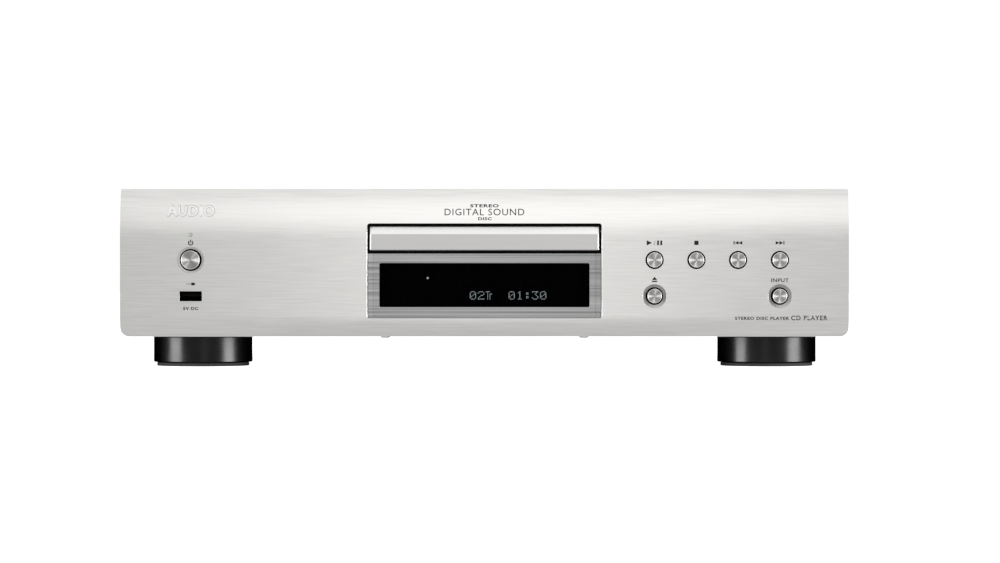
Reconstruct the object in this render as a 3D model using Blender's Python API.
"""Full-width CD player with a motor-driven tray loader, as separate named pieces.

X runs to the right, Y to the rear and Z up. The origin is on the floor, under the middle
of the box. Driving dimensions are in millimetres; shapes are made in metres.
"""

import math

import bmesh
import bpy
from mathutils import Matrix, Vector

MM = 0.001
GAP = 0.3  # clearance between pieces that touch in the real player

# Case
PANEL_HALF_WIDTH = 217.0
PANEL_FACE = -162.0
PANEL_BACK = -153.0
PANEL_BOTTOM = 18.3
PANEL_TOP = 106.5
PANEL_FLAT = (31.0, 76.0)  # the face is flat between these heights
TOP_SETBACK = 6.0
BOTTOM_SETBACK = 4.0
PANEL_CORNER = 5.2
CASE_HALF_WIDTH = 213.8
CASE_FRONT = -152.6
REAR_PANEL = (150.2, 151.4)
COVER_HALF_WIDTH = 215.6
COVER_TOP = 105.6
COVER_BOTTOM = 19.4
COVER_REAR = 152.6
SHEET = 1.0
PAN_BOTTOM = 18.8
PAN_FLOOR = 20.0

# Front openings
OPENING_HALF_WIDTH = 69.8
OPENING_BOTTOM = 29.4
OPENING_TOP = 85.5
COLLAR_BOTTOM = 68.1
WINDOW_HALF_WIDTH = 62.6
WINDOW_LOW, WINDOW_HIGH = 35.9, 62.2
COLLAR_HOLE_HALF_WIDTH = 68.5
COLLAR_HOLE_LOW, COLLAR_HOLE_HIGH = 69.4, 84.2

# Buttons: name, x, z, face radius, hole radius, face y, radius and depth of the dished rim
BUTTONS = (
    ("power_button", -174.9, 64.0, 5.6, 6.65, -164.0, 7.8, 0.4),
    ("play_pause_button", 101.3, 64.0, 4.5, 5.35, -163.4, 5.6, 0.25),
    ("stop_button", 126.2, 64.0, 4.5, 5.35, -163.4, 5.6, 0.25),
    ("previous_button", 151.0, 64.0, 4.5, 5.35, -163.4, 5.6, 0.25),
    ("next_button", 175.9, 64.0, 4.5, 5.35, -163.4, 5.6, 0.25),
    ("eject_button", 101.3, 42.5, 4.3, 5.3, -163.0, 7.1, 1.5),
    ("input_button", 175.9, 42.5, 4.3, 5.3, -163.0, 7.1, 1.5),
)
BUTTON_FLANGE_BACK = -151.4
BUTTON_SEGMENTS = 20
LED_X, LED_Z, LED_RADIUS = -174.9, 79.0, 0.8
USB_X, USB_Z = -174.9, 42.4
USB_HALF_WIDTH, USB_HALF_HEIGHT = 6.5, 2.8
BOARD_FRONT, BOARD_BACK = -149.0, -147.4
SWITCH_FRONT = -150.2

# Feet: centre and radius. The rear ones stand further out and are smaller.
FEET = {
    "front_left": ((-172, -112), 30.0),
    "front_right": ((172, -112), 30.0),
    "rear_left": ((-186, 112), 27.0),
    "rear_right": ((186, 112), 27.0),
}
FOOT_BOTTOM, FOOT_TOP = 2.3, 18.5
FOOT_SEGMENTS = 24

# Rear connectors, along X, and their height
INLET_X, INLET_Z = -178.0, 52.0
OUTPUT_X, OUTPUT_HEIGHTS = 165.0, (44.0, 66.0)
COAXIAL_X, OPTICAL_X, REMOTE_X = 118.0, 88.0, (44.0, 58.0)
JACK_Z = 44.0
JACK_REAR = 164.0

# Loader
SPINDLE = (0.0, -88.0)
TRAY_HALF_WIDTH = 66.0
TRAY_FRONT, TRAY_REAR = -156.5, 15.0
TRAY_BOTTOM, TRAY_FLOOR, TRAY_TOP = 72.4, 74.2, 80.4
WELL_RADIUS = 61.5
SLOT_HALF_WIDTH = 17.5
CAP_HALF_WIDTH = 68.1
CAP_LOW, CAP_CREASE, CAP_HIGH = 69.8, 79.4, 83.8
CAP_FACE, CAP_BACK = -161.7, -156.8
LOADER_FRONT, LOADER_REAR = -149.0, 18.0
LOADER_HALF_WIDTH = 70.0
WALL_TOP = 81.9
DECK = (55.0, 57.5)
LEDGE_TOP = 72.1
BRIDGE = (82.2, 84.2)

# Gears: module 1, so the pitch radius is half the tooth count
GEAR_LAYER = (69.6, 72.1)
RACK_LINE = -57.0
DRIVE_GEAR, DRIVE_TEETH = (-42.0, -125.0), 30
PULLEY_GEAR, PINION_TEETH = (-21.0, -125.0), 12
MOTOR = (35.0, -125.0)
PULLEY_LAYER = (58.9, 64.2)
GROOVE_LAYER = (60.0, 63.2)
PULLEY_GROOVE, PULLEY_RIM = 13.0, 14.6
MOTOR_GROOVE, MOTOR_RIM = 3.0, 4.4
BELT_THICKNESS = 1.2

# Traverse
TRAVERSE_HALF_WIDTH = 37.5
TRAVERSE_FRONT, TRAVERSE_REAR = -107.0, 1.0
TRAVERSE_LAYER = (61.0, 66.5)
HINGE_Y, AXLE_Z = -2.0, 63.75
TRAVERSE_WINDOW = (-72.0, -10.0)
ROD_X, ROD_RADIUS = 25.0, 1.5
LENS_Y = -64.0
SLED_LAYER = (58.0, 60.2)
SLED_PLATE = (56.2, 57.7)
SLED_RACK_LINE = 18.0
SLED_GEAR, SLED_TEETH = (26.0, -36.0), 16
SLED_MOTOR, SLED_PINION_TEETH = (26.0, -24.0), 8


# ---------------------------------------------------------------- shapes

def across(axis, u, v, w):
    """A point with u and v in the plane across axis and w along it, in metres."""
    order = {"X": (w, u, v), "Y": (u, w, v), "Z": (u, v, w)}[axis]
    return Vector(order) * MM


def shape_from(bm):
    bmesh.ops.recalc_face_normals(bm, faces=bm.faces)
    mesh = bpy.data.meshes.new("shape")
    bm.to_mesh(mesh)
    bm.free()
    shape = bpy.data.objects.new("shape", mesh)
    bpy.context.collection.objects.link(shape)
    return shape


def prism(outline, axis, low, high):
    """The outline, in the plane across axis, carried from low to high."""
    bm = bmesh.new()
    ends = [[bm.verts.new(across(axis, u, v, w)) for u, v in outline] for w in (low, high)]
    for ring in ends:
        bm.faces.new(ring)
    for i in range(len(outline)):
        bm.faces.new((ends[0][i - 1], ends[0][i], ends[1][i], ends[1][i - 1]))
    return shape_from(bm)


def block(x, y, z):
    """A box between the pairs of limits x, y and z."""
    corners = ((x[0], y[0]), (x[1], y[0]), (x[1], y[1]), (x[0], y[1]))
    return prism(corners, "Z", z[0], z[1])


def turned(profile, centre, axis="Z", segments=24):
    """Turns a profile of (radius, distance along axis) about the axis through centre.

    A profile that starts and ends on the axis makes a solid piece. One that stays off the
    axis is closed on itself and makes a ring.
    """
    bm = bmesh.new()
    rings = []
    for radius, along in profile:
        count = segments if radius > 0 else 1
        angles = [math.tau * k / segments for k in range(count)]
        rings.append([bm.verts.new(across(axis, centre[0] + radius * math.cos(a),
                                          centre[1] + radius * math.sin(a), along))
                      for a in angles])
    following = rings[1:] + (rings[:1] if profile[0][0] > 0 else [])
    for one, other in zip(rings, following):
        for k in range(segments):
            corners = (one[k % len(one)], one[(k + 1) % len(one)],
                       other[(k + 1) % len(other)], other[k % len(other)])
            bm.faces.new(tuple(dict.fromkeys(corners)))
    return shape_from(bm)


def cylinder(radius, centre, low, high, axis="Z", segments=24):
    profile = ((0, low), (radius, low), (radius, high), (0, high))
    return turned(profile, centre, axis, segments)


def rounded_box(u, v, radius, steps=3):
    """Outline of a rectangle between the limits u and v with round corners."""
    outline = []
    for su, sv, start in ((1, 1, 0), (-1, 1, 90), (-1, -1, 180), (1, -1, 270)):
        centre_u = (u[1] - radius) if su > 0 else (u[0] + radius)
        centre_v = (v[1] - radius) if sv > 0 else (v[0] + radius)
        for k in range(steps + 1):
            angle = math.radians(start + 90 * k / steps)
            outline.append((centre_u + radius * math.cos(angle),
                            centre_v + radius * math.sin(angle)))
    return outline


def rolled_edge(flat_z, end_z, setback, steps):
    """Points (y, z) of an arc that leaves the flat face at flat_z and ends set back."""
    height = abs(end_z - flat_z)
    radius = (height ** 2 + setback ** 2) / (2 * setback)
    sweep = math.asin(height / radius)
    side = 1 if end_z > flat_z else -1
    points = []
    for k in range(steps + 1):
        angle = sweep * k / steps
        points.append((PANEL_FACE + radius * (1 - math.cos(angle)),
                       flat_z + side * radius * math.sin(angle)))
    return points


def gear_outline(centre, teeth, turn=0.0):
    """Straight-flanked module 1 teeth; turn is in degrees, and 0 puts a tooth on +X."""
    pitch_radius = teeth / 2
    tip, root = pitch_radius + 0.9, pitch_radius - 1.25
    tip_half, root_half = 0.30, 0.92
    outline = []
    for k in range(teeth):
        middle = math.radians(turn) + math.tau * k / teeth
        for radius, half in ((root, -root_half), (tip, -tip_half), (tip, tip_half),
                             (root, root_half)):
            angle = middle + half / radius
            outline.append((centre[0] + radius * math.cos(angle),
                            centre[1] + radius * math.sin(angle)))
    return outline


def rack_outline(line_x, back_x, start_y, end_y, gap_y):
    """A toothed bar along Y. Its teeth reach 0.9 past line_x, with a tooth space at gap_y."""
    side = 1 if line_x > back_x else -1
    pitch = math.pi
    first = math.ceil((start_y - gap_y) / pitch - 0.5)
    last = math.floor((end_y - gap_y) / pitch - 0.5)
    root_x, tip_x = line_x - side * 1.25, line_x + side * 0.9
    outline = [(back_x, start_y), (root_x, start_y)]
    for k in range(first, last):
        middle = gap_y + (k + 0.5) * pitch
        if middle - 1.2 > start_y and middle + 1.2 < end_y:
            outline += [(root_x, middle - 1.12), (tip_x, middle - 0.34),
                        (tip_x, middle + 0.34), (root_x, middle + 1.12)]
    outline += [(root_x, end_y), (back_x, end_y)]
    return outline


def belt_outline(extra):
    """Loop round both pulleys, extra outside their grooves."""
    big, small = PULLEY_GROOVE + extra, MOTOR_GROOVE + extra
    distance = MOTOR[0] - PULLEY_GEAR[0]
    lean = math.acos((big - small) / distance)
    steps = 20
    outline = []
    for k in range(steps + 1):
        angle = lean + (math.tau - 2 * lean) * k / steps
        outline.append((PULLEY_GEAR[0] + big * math.cos(angle),
                        PULLEY_GEAR[1] + big * math.sin(angle)))
    steps = 8
    for k in range(steps + 1):
        angle = -lean + 2 * lean * k / steps
        outline.append((MOTOR[0] + small * math.cos(angle),
                        MOTOR[1] + small * math.sin(angle)))
    return outline


def combine(operation, first, others):
    """Applies one Boolean for each of the other shapes and removes them."""
    for other in others:
        step = first.modifiers.new("combine", "BOOLEAN")
        step.operation = operation
        step.object = other
    depsgraph = bpy.context.evaluated_depsgraph_get()
    mesh = bpy.data.meshes.new_from_object(first.evaluated_get(depsgraph))
    first.modifiers.clear()
    first.data = mesh
    for other in others:
        bpy.data.objects.remove(other)
    return first


def fuse(first, *others):
    return combine("UNION", first, others)


def cut(first, *others):
    return combine("DIFFERENCE", first, others)


def overlap(first, *others):
    return combine("INTERSECT", first, others)


def together(shapes):
    """One cutter that holds several separate shapes."""
    bm = bmesh.new()
    for shape in shapes:
        bm.from_mesh(shape.data)
        bpy.data.objects.remove(shape)
    return shape_from(bm)


# ---------------------------------------------------------------- materials and pieces

def material(name, colour, roughness, metallic=0.0):
    made = bpy.data.materials.new(name)
    made.use_nodes = True
    shader = made.node_tree.nodes["Principled BSDF"]
    shader.inputs["Base Color"].default_value = (*colour, 1)
    shader.inputs["Roughness"].default_value = roughness
    shader.inputs["Metallic"].default_value = metallic
    return made


def make_materials():
    table = {
        "panel": ((0.72, 0.71, 0.69), 0.32, 1.0),
        "bezel": ((0.36, 0.36, 0.36), 0.40, 1.0),
        "spun": ((0.78, 0.77, 0.75), 0.22, 1.0),
        "steel": ((0.55, 0.56, 0.57), 0.35, 1.0),
        "case_paint": ((0.60, 0.60, 0.59), 0.50, 0.2),
        "black_plastic": ((0.012, 0.012, 0.013), 0.42, 0.0),
        "gloss_black": ((0.004, 0.004, 0.005), 0.06, 0.0),
        "foot_black": ((0.010, 0.010, 0.010), 0.25, 0.0),
        "rubber": ((0.02, 0.02, 0.02), 0.80, 0.0),
        "board": ((0.02, 0.16, 0.06), 0.45, 0.0),
        "white_plastic": ((0.80, 0.80, 0.78), 0.40, 0.0),
        "orange_plastic": ((0.75, 0.25, 0.04), 0.40, 0.0),
        "brass": ((0.80, 0.60, 0.25), 0.30, 1.0),
        "chrome": ((0.80, 0.80, 0.80), 0.10, 1.0),
        "light_pipe": ((0.45, 0.52, 0.44), 0.30, 0.0),
        "lens": ((0.25, 0.35, 0.55), 0.05, 0.0),
        "capacitor": ((0.03, 0.04, 0.10), 0.35, 0.0),
        "core": ((0.20, 0.20, 0.21), 0.50, 0.6),
    }
    return {name: material(name, *values) for name, values in table.items()}


def piece(name, shape, finish, pivot=None):
    """Names a shape and gives it its finish. A pivot, in mm, becomes its origin."""
    shape.name = name
    shape.data.name = name
    shape.data.materials.clear()
    shape.data.materials.append(FINISHES[finish])
    if pivot is not None:
        centre = Vector(pivot) * MM
        shape.data.transform(Matrix.Translation(-centre))
        shape.location = centre
    shape.data.shade_smooth()
    shape.data.set_sharp_from_angle(angle=math.radians(30))
    return shape


# ---------------------------------------------------------------- front

def button_hole(x, z, hole_radius, rim_radius, rim_depth):
    """Cutter for a button's hole with a dished rim in the panel's face."""
    profile = ((0, PANEL_FACE - 4), (rim_radius, PANEL_FACE - 4), (rim_radius, PANEL_FACE),
               (hole_radius, PANEL_FACE + rim_depth), (hole_radius, PANEL_BACK + 4),
               (0, PANEL_BACK + 4))
    return turned(profile, (x, z), "Y", BUTTON_SEGMENTS)


def make_front_panel():
    profile = [(PANEL_BACK, PANEL_BOTTOM)]
    profile += reversed(rolled_edge(PANEL_FLAT[0], PANEL_BOTTOM, BOTTOM_SETBACK, 6))
    profile += rolled_edge(PANEL_FLAT[1], PANEL_TOP, TOP_SETBACK, 8)
    profile += [(PANEL_BACK, PANEL_TOP)]
    panel = prism(profile, "X", -PANEL_HALF_WIDTH - 5, PANEL_HALF_WIDTH + 5)
    half = PANEL_HALF_WIDTH
    outline = [(half, PANEL_TOP + 5), (-half, PANEL_TOP + 5)]
    lower = rounded_box((-half, half), (PANEL_BOTTOM, PANEL_TOP), PANEL_CORNER, 5)
    outline += lower[len(lower) // 2:]
    panel = overlap(panel, prism(outline, "Y", PANEL_FACE - 3, PANEL_BACK + 3))
    opening = rounded_box((-OPENING_HALF_WIDTH, OPENING_HALF_WIDTH),
                          (OPENING_BOTTOM, OPENING_TOP), 1.5)
    usb = ((USB_X - USB_HALF_WIDTH - GAP, USB_X + USB_HALF_WIDTH + GAP),
           (USB_Z - USB_HALF_HEIGHT - GAP, USB_Z + USB_HALF_HEIGHT + GAP))
    through = (PANEL_FACE - 3, PANEL_BACK + 3)
    cutters = [prism(opening, "Y", *through),
               prism(rounded_box(*usb, 0.4, 2), "Y", *through),
               cylinder(LED_RADIUS + GAP, (LED_X, LED_Z), *through, axis="Y", segments=12)]
    for _, x, z, _, hole_radius, _, rim_radius, rim_depth in BUTTONS:
        cutters.append(button_hole(x, z, hole_radius, rim_radius, rim_depth))
    piece("front_panel", cut(panel, together(cutters)), "panel")


def make_display():
    side = OPENING_HALF_WIDTH - GAP
    strip = side - 3.4
    section = ((-side, -161.7), (-strip, -160.5), (strip, -160.5), (side, -161.7),
               (side, -157.6), (-side, -157.6))
    bezel = prism(section, "Z", OPENING_BOTTOM - 1, COLLAR_BOTTOM - GAP)
    outline = rounded_box((-side, side), (OPENING_BOTTOM + GAP, OPENING_TOP), 1.3)
    bezel = overlap(bezel, prism(outline, "Y", -166, -149))
    window = rounded_box((-WINDOW_HALF_WIDTH, WINDOW_HALF_WIDTH), (WINDOW_LOW, WINDOW_HIGH), 1.0)
    piece("display_bezel", cut(bezel, prism(window, "Y", -165, -150)), "bezel")
    glass = rounded_box((GAP - WINDOW_HALF_WIDTH, WINDOW_HALF_WIDTH - GAP),
                        (WINDOW_LOW + GAP, WINDOW_HIGH - GAP), 0.8)
    piece("display_window", prism(glass, "Y", -160.3, -158.3), "gloss_black")
    module = fuse(block((-60, 60), (-153.6, -152.0), (34, 64)),
                  block((-56, 56), (-157.2, -153.2), (38, 61)))
    piece("display_module", module, "black_plastic")


def make_tray_collar():
    """Black moulding that lines the tray opening, with a flange behind the panel."""
    side = OPENING_HALF_WIDTH - GAP
    sleeve = prism(rounded_box((-side, side), (COLLAR_BOTTOM, OPENING_TOP - GAP), 1.2), "Y",
                   -161.6, -151.4)
    flange = block((-73, 73), (-152.7, -151.2), (64.6, 88))
    hole = prism(rounded_box((-COLLAR_HOLE_HALF_WIDTH, COLLAR_HOLE_HALF_WIDTH),
                             (COLLAR_HOLE_LOW, COLLAR_HOLE_HIGH), 0.6, 2), "Y", -165, -148)
    piece("tray_collar", cut(fuse(sleeve, flange), hole), "black_plastic")


def make_buttons():
    for name, x, z, radius, hole_radius, face, _, _ in BUTTONS:
        flange = hole_radius + 1.2
        flange_front = PANEL_BACK + GAP
        profile = ((0, face), (radius - 0.4, face), (radius, face + 0.4), (radius, flange_front),
                   (flange, flange_front), (flange, BUTTON_FLANGE_BACK), (0, BUTTON_FLANGE_BACK))
        shape = turned(profile, (x, z), "Y", BUTTON_SEGMENTS)
        piece(name, shape, "spun", pivot=(x, face, z))


def make_front_boards():
    """Boards behind the buttons, each switch standing behind its button."""
    for name, limits in (("left_control_board", (-204, -92)), ("right_control_board", (90, 204))):
        board = block(limits, (BOARD_FRONT, BOARD_BACK), (30, 90))
        for _, x, z, _, _, _, _, _ in BUTTONS:
            if limits[0] < x < limits[1]:
                switch = block((x - 3, x + 3), (SWITCH_FRONT, BOARD_FRONT + 0.5), (z - 3, z + 3))
                board = fuse(board, switch)
        piece(name, board, "board")
    pipe = ((0, -161.9), (LED_RADIUS, -161.9), (LED_RADIUS, -152.6), (2.0, -152.6),
            (2.0, -151.6), (LED_RADIUS, -151.6), (LED_RADIUS, -149.4), (0, -149.4))
    piece("power_light_pipe", turned(pipe, (LED_X, LED_Z), "Y", 12), "light_pipe")


def make_usb_port():
    """Metal shell, open to the front, with the contact tongue fused to its back wall."""
    x, z = (USB_X - USB_HALF_WIDTH, USB_X + USB_HALF_WIDTH), USB_Z
    shell = block(x, (-161.8, -149.4), (z - USB_HALF_HEIGHT, z + USB_HALF_HEIGHT))
    inside = block((x[0] + 0.35, x[1] - 0.35), (-164, -151.0),
                   (z - USB_HALF_HEIGHT + 0.35, z + USB_HALF_HEIGHT - 0.35))
    tongue = block((x[0] + 0.8, x[1] - 0.8), (-160.4, -150.5), (z - 0.1, z + 1.7))
    piece("usb_port", fuse(cut(shell, inside), tongue), "steel")


def make_front_subframe():
    """Channel-shaped frame behind the boards that the panel screws to."""
    section = ((-146.6, 22), (-139, 22), (-139, 23.5), (-145.1, 23.5), (-145.1, 101.5),
               (-139, 101.5), (-139, 103), (-146.6, 103))
    frame = prism(section, "X", -206, 206)
    centre = block((-79, 79), (-150, -142), (24.5, 100.5))
    lighten = [block((s * 125 - 22, s * 125 + 22), (-150, -142), (76, 96)) for s in (-1, 1)]
    piece("front_subframe", cut(frame, centre, *lighten), "black_plastic")


# ---------------------------------------------------------------- case and feet

def slots(xs, y, z):
    return [block((x - 1.5, x + 1.5), y, z) for x in xs]


def make_chassis_pan():
    half = CASE_HALF_WIDTH
    pan = block((-half, half), (CASE_FRONT + 0.1, REAR_PANEL[0] - GAP), (PAN_BOTTOM, 30))
    inside = block((SHEET - half, half - SHEET), (CASE_FRONT + 0.1 + SHEET, 160), (PAN_FLOOR, 40))
    cutters = [cylinder(1.8, centre, 10, 25, segments=10) for centre, _ in FEET.values()]
    for y in ((-60, -34), (-26, 0)):
        cutters += slots(range(-196, -99, 12), y, (10, 25))
        cutters += slots(range(100, 197, 12), y, (10, 25))
    piece("chassis_pan", cut(pan, inside, together(cutters)), "steel")


def make_rear_panel():
    half = CASE_HALF_WIDTH
    panel = block((-half, half), REAR_PANEL, (PAN_BOTTOM, COVER_TOP - SHEET - GAP))
    through = (REAR_PANEL[0] - 3, REAR_PANEL[1] + 3)
    holes = [block((INLET_X - 13.3, INLET_X + 13.3), through, (INLET_Z - 7.3, INLET_Z + 7.3)),
             block((OPTICAL_X - 6.8, OPTICAL_X + 6.8), through, (JACK_Z - 6.8, JACK_Z + 6.8))]
    for height in OUTPUT_HEIGHTS:
        holes.append(cylinder(5.6, (OUTPUT_X, height), *through, axis="Y", segments=20))
    holes.append(cylinder(5.6, (COAXIAL_X, JACK_Z), *through, axis="Y", segments=20))
    for x in REMOTE_X:
        holes.append(cylinder(4.2, (x, JACK_Z), *through, axis="Y", segments=16))
    piece("rear_panel", cut(panel, together(holes)), "steel")


def make_top_cover():
    half = COVER_HALF_WIDTH
    cover = block((-half, half), (CASE_FRONT, COVER_REAR), (COVER_BOTTOM, COVER_TOP))
    inside = block((SHEET - half, half - SHEET), (-170, 170), (0, COVER_TOP - SHEET))
    vents = []
    for y in ((62, 84), (92, 114)):
        vents += slots(range(-190, -99, 10), y, (95, 115))
        vents += slots(range(100, 191, 10), y, (95, 115))
    piece("top_cover", cut(cover, inside, together(vents)), "case_paint")


def make_feet():
    for corner, (centre, radius) in FEET.items():
        bevel = radius - 0.6
        foot = ((5.5, FOOT_BOTTOM), (bevel, FOOT_BOTTOM), (radius, 2.9), (radius, 17.9),
                (bevel, FOOT_TOP), (2.2, FOOT_TOP), (2.2, 9.0), (5.5, 9.0))
        inner, outer = radius - 10.0, radius - 2.0
        pad = ((inner, 0.0), (outer, 0.0), (outer, 2.0), (inner, 2.0))
        piece("foot_" + corner, turned(foot, centre, segments=FOOT_SEGMENTS), "foot_black")
        piece("foot_pad_" + corner, turned(pad, centre, segments=FOOT_SEGMENTS), "rubber")


# ---------------------------------------------------------------- rear connectors

def make_ac_inlet():
    """Two-pin mains inlet: a flange outside the panel and a cavity with both pins."""
    x, z = INLET_X, INLET_Z
    body = fuse(block((x - 13, x + 13), (136, 152.5), (z - 7, z + 7)),
                block((x - 17, x + 17), (151.7, 154.2), (z - 10, z + 10)))
    cavity = prism(rounded_box((x - 8.4, x + 8.4), (z - 4.6, z + 4.6), 4.2, 5), "Y", 139, 160)
    body = cut(body, cavity)
    pins = [cylinder(1.2, (x + side * 4.3, z), 138, 152, axis="Y", segments=10)
            for side in (-1, 1)]
    piece("ac_inlet", fuse(body, *pins), "black_plastic")


def phono_jack(x, z, rear):
    """A phono socket's sleeve with its collar, and the hole for the plug's pin."""
    profile = ((1.7, 146.0), (5.0, 146.0), (5.0, 153.0), (4.15, 153.0), (4.15, rear),
               (1.7, rear))
    return turned(profile, (x, z), "Y", 20)


def make_jacks():
    low, high = OUTPUT_HEIGHTS
    body = block((OUTPUT_X - 7, OUTPUT_X + 7), (136, 148.5), (low - 9, high + 9))
    for height in OUTPUT_HEIGHTS:
        body = fuse(body, phono_jack(OUTPUT_X, height, JACK_REAR))
    piece("rca_output_block", body, "white_plastic")
    body = block((COAXIAL_X - 7, COAXIAL_X + 7), (136, 148.5), (JACK_Z - 9, JACK_Z + 9))
    piece("coaxial_jack", fuse(body, phono_jack(COAXIAL_X, JACK_Z, 161.0)), "orange_plastic")
    body = block((REMOTE_X[0] - 6, REMOTE_X[1] + 6), (136, 149.8), (JACK_Z - 7, JACK_Z + 7))
    for x in REMOTE_X:
        socket = ((1.8, 148.0), (3.9, 148.0), (3.9, 155.5), (1.8, 155.5))
        body = fuse(body, turned(socket, (x, JACK_Z), "Y", 16))
    piece("remote_jack_block", body, "black_plastic")


def make_optical_jack():
    x, z = OPTICAL_X, JACK_Z
    body = block((x - 6.5, x + 6.5), (138, 156), (z - 6.5, z + 6.5))
    piece("optical_jack", cut(body, block((x - 4.5, x + 4.5), (143, 160), (z - 4.5, z + 4.5))),
          "black_plastic")
    shutter = block((x - 4.1, x + 4.1), (154.3, 155.3), (z - 4.1, z + 4.1))
    piece("optical_shutter", shutter, "black_plastic", pivot=(x, 154.8, z + 3.6))


# ---------------------------------------------------------------- electronics

def board(x, y, z, parts):
    """A circuit board on four posts, with its larger parts fused to it."""
    shape = block(x, y, (z, z + 1.6))
    for px in (x[0] + 6, x[1] - 6):
        for py in (y[0] + 6, y[1] - 6):
            shape = fuse(shape, cylinder(2.6, (px, py), PAN_FLOOR + GAP, z + 0.8, segments=8))
    for px, py, width, depth, height in parts:
        shape = fuse(shape, block((px - width / 2, px + width / 2),
                                  (py - depth / 2, py + depth / 2), (z + 1, z + 1.6 + height)))
    return shape


def make_electronics():
    main = ((60, 90, 24, 24, 3), (120, 100, 16, 16, 3), (150, 95, 20, 12, 10), (90, 60, 14, 20, 5),
            (180, 110, 14, 14, 12), (180, 70, 12, 30, 7))
    piece("main_board", board((22, 205), (46, 134), 27, main), "board")
    power = ((-185, -110, 20, 24, 22), (-120, -105, 24, 14, 14), (-190, 10, 16, 30, 18),
             (-150, -70, 30, 8, 24))
    piece("power_board", board((-205, -98), (-132, 32), 27, power), "board")
    core = block((-182, -118), (66, 104), (24, 76))
    winding = block((-171, -129), (56, 114), (33, 67))
    foot = block((-190, -110), (68, 102), (PAN_FLOOR + GAP, 25))
    piece("power_transformer", fuse(core, winding, foot), "core")
    for name, x in (("smoothing_capacitor_a", -158), ("smoothing_capacitor_b", -132)):
        can = ((0, 28.9), (10, 28.9), (10, 60), (9.2, 61), (0, 61))
        piece(name, turned(can, (x, -20), segments=20), "capacitor")
    fins = [(30, 64), (66, 64), (66, 67)]
    for x in range(66, 30, -6):
        fins += [(x, 67), (x, 80), (x - 1.6, 80), (x - 1.6, 67)]
    fins = list(dict.fromkeys(fins)) + [(30, 67)]
    piece("heat_sink", prism(fins, "Z", 31.9, 62), "core")


# ---------------------------------------------------------------- loader

def make_loader_frame():
    half = LOADER_HALF_WIDTH
    front = (LOADER_FRONT, -110)
    frame = block((-68, 68), front, DECK)
    parts = [block((-68, 68), (3, LOADER_REAR), DECK)]
    for side in (-1, 1):
        wall = sorted((side * 67.2, side * half))
        ledge = sorted((side * 62.3, side * 68.5))
        deck = sorted((side * 41, side * 68))
        hinge = sorted((side * 40.5, side * 45))
        parts += [block(wall, (LOADER_FRONT, LOADER_REAR), (50, WALL_TOP)),
                  block(ledge, (LOADER_FRONT + 1, LOADER_REAR - 1), (LEDGE_TOP - 2.4, LEDGE_TOP)),
                  block(deck, (-112, 5), DECK),
                  block(hinge, (HINGE_Y - 4, HINGE_Y + 4), (56.5, AXLE_Z + 4))]
        parts += [cylinder(4.5, (side * 60, y), PAN_FLOOR + GAP, 56, segments=12)
                  for y in (-131, 11)]
    posts = ((DRIVE_GEAR, 4.0, GEAR_LAYER[0] - GAP, 2.0, 71.8),
             (PULLEY_GEAR, 3.2, PULLEY_LAYER[0] - GAP, 1.5, 71.8))
    for centre, shoulder, shoulder_top, pin, pin_top in posts:
        profile = ((0, 56), (shoulder, 56), (shoulder, shoulder_top), (pin, shoulder_top),
                   (pin, pin_top), (0, pin_top))
        parts.append(turned(profile, centre, segments=16))
    frame = fuse(frame, *parts)
    bores = [cylinder(1.8, (HINGE_Y, AXLE_Z), side * 42 - 6, side * 42 + 6, "X", 12)
             for side in (-1, 1)]
    shaft_hole = cylinder(3.0, MOTOR, 50, 60, segments=12)
    piece("loader_frame", cut(frame, together(bores + [shaft_hole])), "black_plastic")


def make_clamp():
    """Bridge over the tray, and the magnetic clamper that hangs in it."""
    x, y = SPINDLE
    low, high = BRIDGE
    bridge = block((-70, 70), (y - 22, y + 22), (low, high))
    ribs = [block((-66, 66), (edge - 1, edge + 1), (low + 0.5, high + 3))
            for edge in (y - 20, y + 20)]
    bridge = fuse(bridge, *ribs)
    piece("clamp_bridge", cut(bridge, cylinder(12.7, SPINDLE, low - 5, high + 5, segments=32)),
          "steel")
    profile = ((0, 78.5), (13.8, 78.5), (14.8, 79.3), (14.8, low - 0.6), (12.3, low - 0.6),
               (12.3, high + GAP), (14.2, high + GAP), (14.2, high + 1.4), (0, high + 1.4))
    piece("clamper", turned(profile, (x, y), segments=24), "white_plastic", pivot=(x, y, low))


def make_gears():
    gear = prism(gear_outline(DRIVE_GEAR, DRIVE_TEETH), "Z", *GEAR_LAYER)
    gear = cut(gear, cylinder(2.3, DRIVE_GEAR, 60, 80, segments=16))
    piece("tray_drive_gear", gear, "white_plastic", pivot=(*DRIVE_GEAR, GEAR_LAYER[0]))
    low, high = PULLEY_LAYER
    wheel = turned(((0, low), (PULLEY_RIM, low), (PULLEY_RIM, GROOVE_LAYER[0] - 0.2),
                    (PULLEY_GROOVE, GROOVE_LAYER[0]), (PULLEY_GROOVE, GROOVE_LAYER[1]),
                    (PULLEY_RIM, GROOVE_LAYER[1] + 0.2), (PULLEY_RIM, high), (3.4, high),
                    (3.4, GEAR_LAYER[0]), (0, GEAR_LAYER[0])), PULLEY_GEAR, segments=28)
    half_tooth = 180 / PINION_TEETH
    pinion = prism(gear_outline(PULLEY_GEAR, PINION_TEETH, half_tooth), "Z",
                   GEAR_LAYER[0] - 1, GEAR_LAYER[1] - 0.2)
    wheel = cut(fuse(wheel, pinion), cylinder(1.8, PULLEY_GEAR, 50, 80, segments=12))
    piece("pulley_gear", wheel, "white_plastic", pivot=(*PULLEY_GEAR, low))


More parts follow.
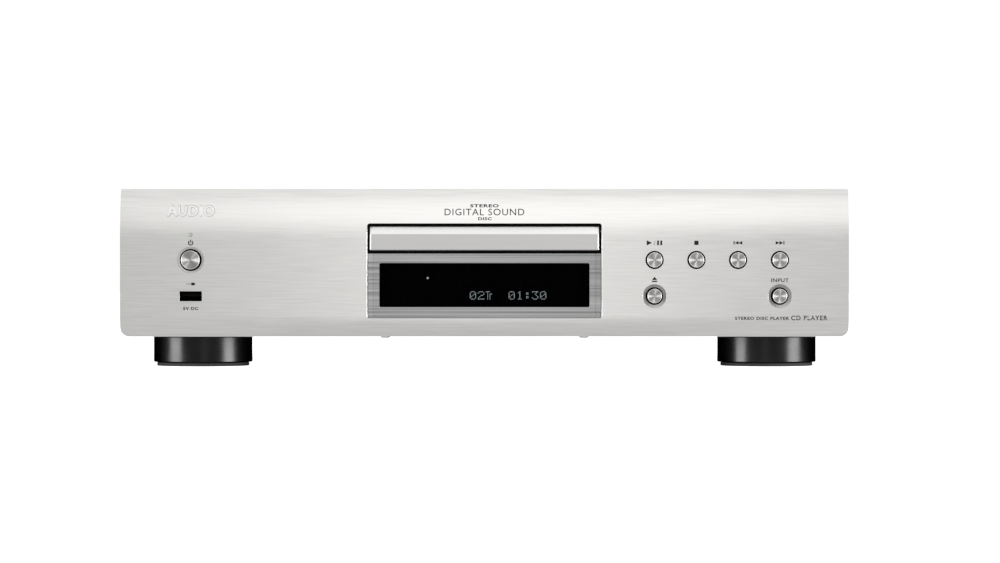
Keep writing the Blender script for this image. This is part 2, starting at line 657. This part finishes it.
def make_loading_motor():
    low, high = PULLEY_LAYER
    can = ((0, 37), (11, 37), (12, 38), (12, 53.7), (11, 54.7), (1.0, 54.7), (1.0, 64.5),
           (0, 64.5))
    piece("loading_motor", turned(can, MOTOR, segments=24), "steel")
    pulley = ((1.3, low), (MOTOR_RIM, low), (MOTOR_RIM, GROOVE_LAYER[0] - 0.2),
              (MOTOR_GROOVE, GROOVE_LAYER[0]), (MOTOR_GROOVE, GROOVE_LAYER[1]),
              (MOTOR_RIM, GROOVE_LAYER[1] + 0.2), (MOTOR_RIM, high), (1.3, high))
    piece("motor_pulley", turned(pulley, MOTOR, segments=16), "brass", pivot=(*MOTOR, low))
    layer = (GROOVE_LAYER[0] + 0.6, GROOVE_LAYER[1] - 0.6)
    belt = prism(belt_outline(GAP + BELT_THICKNESS), "Z", *layer)
    inside = prism(belt_outline(GAP), "Z", layer[0] - 2, layer[1] + 2)
    piece("loading_belt", cut(belt, inside), "rubber")


def make_disc_tray():
    x, y = SPINDLE
    half = TRAY_HALF_WIDTH
    tray = block((-half, half), (TRAY_FRONT, TRAY_REAR), (TRAY_BOTTOM, TRAY_TOP))
    rack = prism(rack_outline(RACK_LINE, RACK_LINE - 4.6, -133, TRAY_REAR - 0.5, DRIVE_GEAR[1]),
                 "Z", 69.9, TRAY_BOTTOM + 0.6)
    tray = fuse(tray, rack)
    small_disc_floor = TRAY_FLOOR - 0.7
    well = turned(((0, 60), (SLOT_HALF_WIDTH + 1, 60), (SLOT_HALF_WIDTH + 1, small_disc_floor),
                   (41, small_disc_floor), (41, TRAY_FLOOR), (WELL_RADIUS, TRAY_FLOOR),
                   (WELL_RADIUS, 100), (0, 100)), SPINDLE, segments=56)
    slot = block((x - SLOT_HALF_WIDTH, x + SLOT_HALF_WIDTH), (y + 9, 40), (55, 105))
    finger = [block((side * 44 - 9, side * 44 + 9), (y - 66, y - 30), (76.4, 102))
              for side in (-1, 1)]
    pocket = [block(sorted((side * 22, side * 62)), (-18, 11), (TRAY_FLOOR, 103))
              for side in (-1, 1)]
    piece("disc_tray", cut(tray, well, slot, *finger, *pocket), "black_plastic")
    section = ((CAP_BACK, CAP_LOW), (CAP_FACE, CAP_LOW), (CAP_FACE, CAP_CREASE),
               (CAP_FACE + 1.5, CAP_HIGH), (CAP_BACK, CAP_HIGH))
    piece("tray_front", prism(section, "X", -CAP_HALF_WIDTH, CAP_HALF_WIDTH), "panel")


# ---------------------------------------------------------------- traverse and pick-up

def make_traverse_frame():
    half = TRAVERSE_HALF_WIDTH
    low, high = TRAVERSE_LAYER
    frame = block((-half, half), (TRAVERSE_FRONT, TRAVERSE_REAR), (low, high))
    frame = cut(frame, block((-31, 31), TRAVERSE_WINDOW, (50, 80)))
    pins = [cylinder(1.4, (HINGE_Y, AXLE_Z), *sorted((side * 35, side * 44)), "X", 12)
            for side in (-1, 1)]
    hanger = block((36, half), (-46, -8), (SLED_PLATE[0], low + 1))
    plate = block((12.5, half), (-46, -8), SLED_PLATE)
    axle = cylinder(1.2, SLED_GEAR, SLED_PLATE[0] + 0.5, SLED_LAYER[1], segments=10)
    frame = fuse(frame, *pins, hanger, plate, axle)
    pockets = [cylinder(ROD_RADIUS + GAP, (side * ROD_X, AXLE_Z), end - 3.6, end + 3.6, "Y", 12)
               for side in (-1, 1) for end in TRAVERSE_WINDOW]
    holes = [cylinder(4.0, SPINDLE, 50, 80, segments=20),
             cylinder(1.6, SLED_MOTOR, 50, 60, segments=10)]
    piece("traverse_frame", cut(frame, together(pockets + holes)), "steel",
          pivot=(0, HINGE_Y, AXLE_Z))


def make_spindle():
    low, high = TRAVERSE_LAYER
    motor = ((0, 50.5), (11.4, 50.5), (12, 51.1), (12, low - GAP), (1.0, low - GAP),
             (1.0, 72.0), (0, 72.0))
    piece("spindle_motor", turned(motor, SPINDLE, segments=28), "steel")
    profile = ((1.3, high + GAP), (3.4, high + GAP), (3.4, 73.4), (13.6, 73.4), (14.8, 74.2),
               (14.8, 75.6), (7.6, 75.6), (7.3, 76.6), (5.4, 78.2), (1.3, 78.2))
    piece("turntable", turned(profile, SPINDLE, segments=24), "black_plastic",
          pivot=(*SPINDLE, high))


def make_sled():
    """Pick-up carriage on two rods, its lens, and the gear train that moves it."""
    front, rear = TRAVERSE_WINDOW
    for name, side in (("guide_rod_left", -1), ("guide_rod_right", 1)):
        rod = cylinder(ROD_RADIUS, (side * ROD_X, AXLE_Z), front - 3.3, rear + 3.3, "Y", 12)
        piece(name, rod, "chrome")
    carriage = block((-29.5, 29.5), (-71.5, -54), (SLED_LAYER[1] + GAP, 67))
    housing = block((-10, 10), (-71.5, -56), (66, 71))
    rack = prism(rack_outline(SLED_RACK_LINE, 14, -71, -33, SLED_GEAR[1]), "Z", *SLED_LAYER)
    root = block((14, 16.6), (-71, -56), (SLED_LAYER[0] + 0.4, 62))
    carriage = fuse(carriage, housing, rack, root)
    bores = [cylinder(ROD_RADIUS + GAP, (side * ROD_X, AXLE_Z), -80, -40, "Y", 12)
             for side in (-1, 1)]
    lens_hole = cylinder(4.4, (0, LENS_Y), 66.9, 80, segments=20)
    piece("sled_carriage", cut(carriage, together(bores + [lens_hole])), "core",
          pivot=(0, LENS_Y, AXLE_Z))
    lens = ((0, 67.9), (4.0, 67.9), (4.0, 71.9), (2.9, 71.9), (2.4, 72.3), (0, 72.6))
    piece("objective_lens", turned(lens, (0, LENS_Y), segments=20), "lens",
          pivot=(0, LENS_Y, 67.9))
    gear = cut(prism(gear_outline(SLED_GEAR, SLED_TEETH), "Z", *SLED_LAYER),
               cylinder(1.5, SLED_GEAR, 50, 70, segments=12))
    piece("sled_gear", gear, "white_plastic", pivot=(*SLED_GEAR, SLED_LAYER[0]))
    half_tooth = 180 / SLED_PINION_TEETH
    pinion = cut(prism(gear_outline(SLED_MOTOR, SLED_PINION_TEETH, half_tooth), "Z", *SLED_LAYER),
                 cylinder(1.1, SLED_MOTOR, 50, 70, segments=12))
    piece("sled_pinion", pinion, "brass", pivot=(*SLED_MOTOR, SLED_LAYER[0]))
    motor = ((0, 42), (6.4, 42), (7, 42.6), (7, SLED_PLATE[0] - GAP), (0.8, SLED_PLATE[0] - GAP),
             (0.8, SLED_LAYER[1]), (0, SLED_LAYER[1]))
    piece("sled_motor", turned(motor, SLED_MOTOR, segments=20), "steel")


for existing in list(bpy.data.objects):
    bpy.data.objects.remove(existing)
FINISHES = make_materials()
make_front_panel()
make_display()
make_tray_collar()
make_buttons()
make_front_boards()
make_usb_port()
make_front_subframe()
make_chassis_pan()
make_rear_panel()
make_top_cover()
make_feet()
make_ac_inlet()
make_jacks()
make_optical_jack()
make_electronics()
make_loader_frame()
make_clamp()
make_gears()
make_loading_motor()
make_disc_tray()
make_traverse_frame()
make_spindle()
make_sled()
